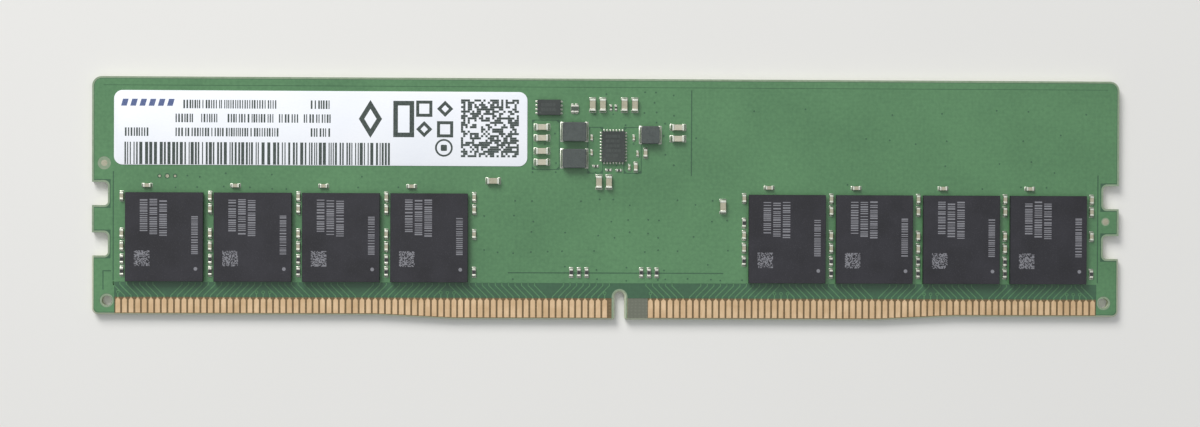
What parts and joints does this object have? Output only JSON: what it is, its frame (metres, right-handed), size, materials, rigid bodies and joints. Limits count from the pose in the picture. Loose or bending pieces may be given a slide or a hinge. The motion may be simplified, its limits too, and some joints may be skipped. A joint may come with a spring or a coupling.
{
  "type": "ram module",
  "caption": "Long thin notched green circuit board with gold edge contacts, a row of black memory packages, a small power section and a paper label.",
  "frame": {"origin": "under the middle of the board, on the rear face that it lies on", "axes": "+X along the module, +Y from the contact edge to the top edge, +Z out of the front (component) face"},
  "size_m": [0.1334, 0.0312, 0.0025],
  "materials": {
    "laminate": "glass-epoxy laminate, cut edges matt and pale",
    "solder_mask": "green solder mask, semi-gloss, copper pattern showing through",
    "contact_gold": "gold plating, satin",
    "tinned_pad": "bare tinned copper, satin",
    "mould_compound": "filled epoxy, fine matt, laser marked",
    "package_substrate": "thin green-brown laminate, sawn edges",
    "solder": "tin alloy, bright satin",
    "silicon": "ground silicon",
    "tinned_copper": "tin plating, satin",
    "pressed_core": "pressed iron-alloy powder, fine grained and matt",
    "winding_copper": "enamelled copper",
    "tinned_terminal": "tin plating, bright satin",
    "capacitor_ceramic": "fired ceramic, beige-grey, slightly rough",
    "resistor_ceramic": "dark overglaze on alumina",
    "label_paper": null,
    "label_adhesive": "clear adhesive layer"
  },
  "bodies": {
    "root": {"bare_pads": "tinned_pad", "board_laminate": "laminate", "contacts_front_left": "contact_gold", "contacts_front_right": "contact_gold", "contacts_rear_left": "contact_gold", "contacts_rear_right": "contact_gold", "controller_dies": "silicon", "decoupling_capacitor_bodies": "capacitor_ceramic", "decoupling_capacitor_terminals": "tinned_terminal", "hub_ic_body": "mould_compound", "hub_ic_leads": "tinned_copper", "inductor_core_1": "pressed_core", "inductor_core_2": "pressed_core", "inductor_core_3": "pressed_core", "inductor_terminals": "tinned_terminal", "inductor_windings": "winding_copper", "input_capacitor_bodies": "capacitor_ceramic", "input_capacitor_terminals": "tinned_terminal", "label_adhesive": "label_adhesive", "label_paper": "label_paper", "memory_balls_1": "solder", "memory_balls_2": "solder", "memory_balls_3": "solder", "memory_balls_4": "solder", "memory_balls_5": "solder", "memory_balls_6": "solder", "memory_balls_7": "solder", "memory_balls_8": "solder", "memory_chip_1": "mould_compound", "memory_chip_2": "mould_compound", "memory_chip_3": "mould_compound", "memory_chip_4": "mould_compound", "memory_chip_5": "mould_compound", "memory_chip_6": "mould_compound", "memory_chip_7": "mould_compound", "memory_chip_8": "mould_compound", "memory_dies": "silicon", "memory_substrate_1": "package_substrate", "memory_substrate_2": "package_substrate", "memory_substrate_3": "package_substrate", "memory_substrate_4": "package_substrate", "memory_substrate_5": "package_substrate", "memory_substrate_6": "package_substrate", "memory_substrate_7": "package_substrate", "memory_substrate_8": "package_substrate", "output_capacitor_bodies": "capacitor_ceramic", "output_capacitor_terminals": "tinned_terminal", "power_ic_body": "mould_compound", "power_ic_leads": "tinned_copper", "resistor_array_body": "resistor_ceramic", "resistor_array_terminals": "tinned_terminal", "resistor_bodies": "resistor_ceramic", "resistor_terminals": "tinned_terminal", "solder_mask_front": "solder_mask", "solder_mask_rear": "solder_mask", "tiny_capacitor_bodies": "capacitor_ceramic", "tiny_capacitor_terminals": "tinned_terminal", "tiny_resistor_bodies": "resistor_ceramic", "tiny_resistor_terminals": "tinned_terminal"}
  },
  "joints": []
}
